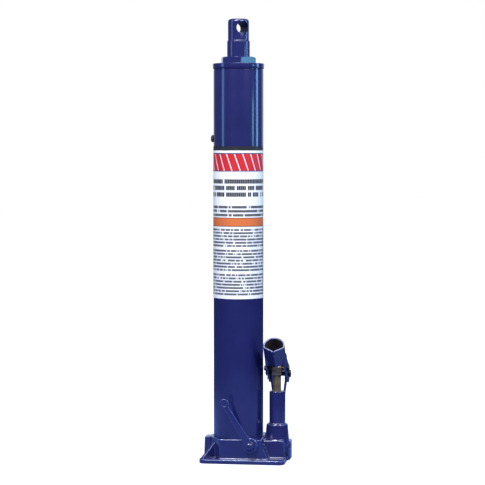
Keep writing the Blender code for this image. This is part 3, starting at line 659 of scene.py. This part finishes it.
def release_valve():
    axis = at(RELEASE.x, 0, RELEASE.z) @ TO_MINUS_Y
    low, high = corners("release_stem")
    front, back = -low.y, -high.y
    stem = [(0, back), (1.6, back), (3.5, back + 2.4), (3.5, 46.2), (2.6, 46.2), (2.6, front), (0, front)]
    stem = moved(soft_rod(stem, 0.3), axis)
    add("release_stem_turned", stem, TURNED_STEEL, "release_valve", "steel", "release_stem")
    low, high = corners("lever_screw")
    front = -low.y
    section = [(0, 42), (1.5, 42), (1.5, 50.6), (4.3, 50.6), (4.3, front - 0.8), (3, front), (0, front)]
    screw = helper(moved(soft_rod(section, 0.5), axis))
    slot = extruded([(-3.4, -0.55), (3.4, -0.55), (3.4, 0.55), (-3.4, 0.55)], front - 1.3, front + 2)
    drive = helper(moved(slot, axis @ Matrix.Rotation(math.radians(28), 4, "Z")))
    cut = screw.modifiers.new("drive", "BOOLEAN")
    cut.object = drive
    mesh = baked(screw)
    bpy.data.objects.remove(drive, do_unlink=True)
    settle("lever_screw_slotted", mesh, PAINT, "release_valve", "paint", "lever_screw")
    seal = [(4.6 + 0.75 * math.cos(math.pi * k / 12), 40.6 + 0.9 * math.sin(math.pi * k / 12)) for k in range(24)]
    add("release_o_ring_seal", moved(turned(seal, SMALL), axis), RUBBER, "base", "rubber", "release_o_ring")
    washer = soft_ring(3.8, 5.3, 42, 43.6, 0.25, SMALL)
    add("release_gland_ring", moved(washer, axis), TURNED_STEEL, "base", "steel", "release_gland_washer")


def finish(node, material):
    mesh = frame["nodes"][node].data
    mesh.materials.clear()
    mesh.materials.append(material)


def plugs():
    """The screws that close the drilled passages keep their CAD shape."""
    for node in ("suction_passage_plug", "delivery_passage_plug"):
        finish(node, DARK_STEEL)


def hidden_nodes():
    """Pieces inside the jack keep their CAD shape and take a finish."""
    finishes = {
        TURNED_STEEL: ("pressure_cylinder", "piston_head", "piston_nut", "release_ball",
                       "suction_ball", "delivery_ball", "delivery_spring"),
        BRONZE: ("ram_guide_bush", "delivery_screw"),
        COPPER: ("cylinder_gasket",),
        RUBBER: ("piston_seal", "piston_backup_ring", "plunger_seal"),
    }
    for material, names in finishes.items():
        for name in names:
            finish(name, material)


# ---------------------------------------------------------------- studio

VIEW_TURN = math.radians(8)
EYE_HEIGHT, EYE_DISTANCE = 0.442, 2.5
AIM_RIGHT, AIM_HEIGHT = 0.0056, 0.307


def camera():
    data = bpy.data.cameras.new("camera")
    data.lens = 132
    data.sensor_width = 36
    data.clip_end = 40
    obj = bpy.data.objects.new("camera", data)
    bpy.context.scene.collection.objects.link(obj)
    obj.location = (EYE_DISTANCE * math.sin(VIEW_TURN), -EYE_DISTANCE * math.cos(VIEW_TURN), EYE_HEIGHT)
    target = Vector((AIM_RIGHT * math.cos(VIEW_TURN), AIM_RIGHT * math.sin(VIEW_TURN), AIM_HEIGHT))
    obj.rotation_euler = (target - obj.location).to_track_quat("-Z", "Y").to_euler()
    bpy.context.scene.camera = obj


def soft_box(name, azimuth, distance, height, size, power, colour, aim_height):
    """An area light at a compass angle from the front, turned towards the jack's axis."""
    data = bpy.data.lights.new(name, "AREA")
    data.shape = "RECTANGLE"
    data.size, data.size_y = size
    data.energy = power
    data.color = colour
    obj = bpy.data.objects.new(name, data)
    bpy.context.scene.collection.objects.link(obj)
    turn = math.radians(azimuth)
    obj.location = (distance * math.sin(turn), -distance * math.cos(turn), height)
    obj.rotation_euler = (Vector((0, 0, aim_height)) - obj.location).to_track_quat("-Z", "Y").to_euler()


def studio():
    bm = bmesh.new()
    bmesh.ops.create_circle(bm, cap_ends=True, segments=96, radius=9)
    mesh = bpy.data.meshes.new("floor")
    bm.to_mesh(mesh)
    bm.free()
    mesh.materials.append(pale_floor())
    floor = bpy.data.objects.new("floor", mesh)
    bpy.context.scene.collection.objects.link(floor)
    soft_box("key_above_left", -22, 2.0, 2.3, (1.5, 1.5), 92, (1, 0.98, 0.96), 0.25)
    soft_box("spark", -12, 1.6, 2.0, (0.10, 0.10), 12, (0.50, 0.72, 1), 0.15)
    soft_box("fill_right", 52, 2.0, 1.9, (1.2, 1.2), 52, (0.9, 0.95, 1), 0.25)
    soft_box("glint_on_hexagon", 78, 1.25, 0.63, (0.16, 0.16), 0.55, (0.2, 0.66, 0.9), 0.56)
    soft_box("overhead", 10, 0.35, 2.4, (0.9, 0.9), 24, (0.85, 0.93, 1), 0.2)
    soft_box("strip_left", -68, 1.25, 1.15, (0.26, 1.4), 4, (0.25, 0.52, 1), 0.9)
    soft_box("strip_right", 103, 1.25, 1.15, (0.24, 1.4), 8, (0.26, 0.52, 1), 0.9)
    world = bpy.data.worlds.new("studio")
    world.use_nodes = True
    bpy.context.scene.world = world
    tree = world.node_tree
    path = tree.nodes.new("ShaderNodeLightPath")
    mix = tree.nodes.new("ShaderNodeMix")
    mix.data_type = "RGBA"
    mix.inputs[7].default_value = (1, 1, 1, 1)
    place = tree.nodes.new("ShaderNodeTexCoord")
    axes = tree.nodes.new("ShaderNodeSeparateXYZ")
    tree.links.new(place.outputs["Generated"], axes.inputs[0])
    behind = tree.nodes.new("ShaderNodeMapRange")
    behind.inputs["From Min"].default_value = 0.72
    behind.inputs["From Max"].default_value = 0.96
    tree.links.new(axes.outputs[1], behind.inputs["Value"])
    wall = tree.nodes.new("ShaderNodeMix")
    wall.data_type = "RGBA"
    wall.inputs[6].default_value = (0.09, 0.11, 0.16, 1)
    wall.inputs[7].default_value = (0.55, 0.70, 0.95, 1)
    tree.links.new(behind.outputs[0], wall.inputs[0])
    tree.links.new(wall.outputs[2], mix.inputs[6])
    tree.links.new(path.outputs["Is Camera Ray"], mix.inputs[0])
    tree.links.new(mix.outputs[2], tree.nodes["Background"].inputs[0])
    bpy.context.scene.view_settings.view_transform = "Standard"


camera()
studio()
tank()
top_nut()
ram()
label()
filler_plug()
pump()
plunger()
cast_over("foot_casting", "base_casting", 0.7, 9, CAST_PAINT, "base", "paint")
raw_bore_and_painted_shade(cast_over("handle_socket_stamping", "handle_socket", 0.4, 6, CAST_PAINT, "handle_socket", "paint"))
cast_over("link_bar_left_strip", "link_bar_left", 0.4, 4, CAST_PAINT, "link", "paint")
cast_over("link_bar_right_strip", "link_bar_right", 0.4, 4, CAST_PAINT, "link", "paint")
cast_over("release_lever_forging", "release_lever", 0.4, 9, CAST_PAINT, "release_valve", "paint")
pin("plunger_pin", "handle_socket", "plunger_cotter")
pin("link_upper_pin", "link", "link_upper_cotter")
pin("link_lower_pin", "base", "link_lower_cotter")
release_valve()
plugs()
hidden_nodes()
